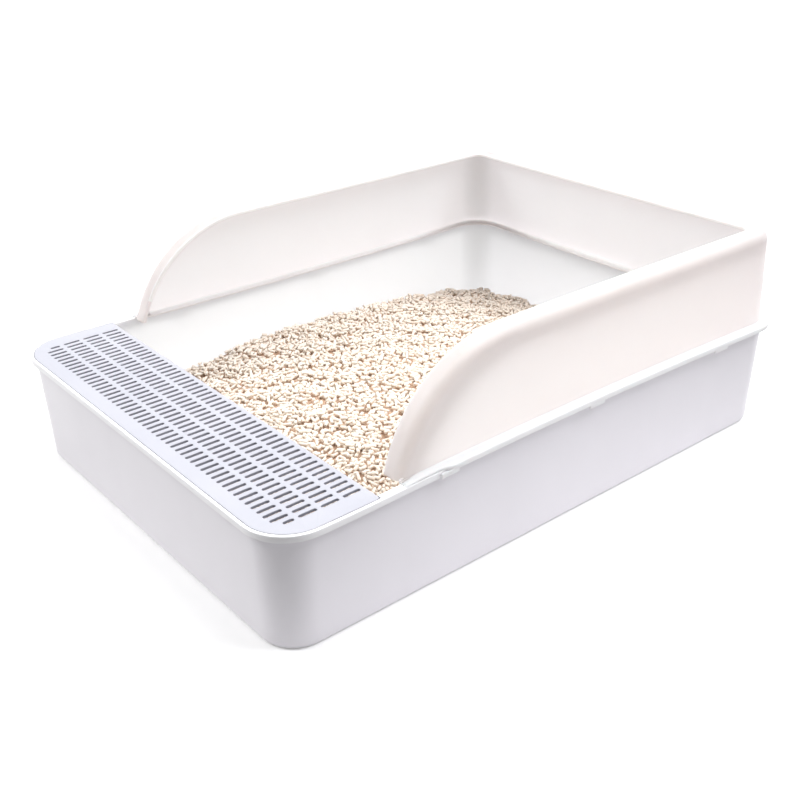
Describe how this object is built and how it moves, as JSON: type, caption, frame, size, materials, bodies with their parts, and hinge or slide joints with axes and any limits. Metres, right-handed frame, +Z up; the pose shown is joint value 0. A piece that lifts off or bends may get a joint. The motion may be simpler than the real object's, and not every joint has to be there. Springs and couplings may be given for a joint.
{
  "type": "litter box",
  "caption": "Open rectangular cat litter tray with rounded corners, a slotted entry plate flush in its front rim and a lift-off U-shaped splash guard with a rolled top edge.",
  "frame": {"origin": "centre of the whole object's outline on the ground", "axes": "+Z up, -Y is the entry end, +X is the right side as seen from the entry"},
  "size_m": [0.4236, 0.5792, 0.1903],
  "materials": {
    "tray_plastic": "satin",
    "plate_plastic": "fine matte",
    "guard_plastic": "frosted translucent",
    "litter_pellets": "dry pressed pellets"
  },
  "bodies": {
    "tray": {"tray": "tray_plastic", "litter": "litter_pellets"},
    "entry_plate": {"entry_plate": "plate_plastic"},
    "splash_guard": {"splash_guard": "guard_plastic"}
  },
  "joints": [
    {"name": "guard_lift", "type": "slide", "parent": "tray", "child": "splash_guard", "axis": [0, 0, 1], "range_m": [0, 0.12]},
    {"name": "plate_lift", "type": "slide", "parent": "tray", "child": "entry_plate", "axis": [0, 0, 1], "range_m": [0, 0.1]}
  ]
}
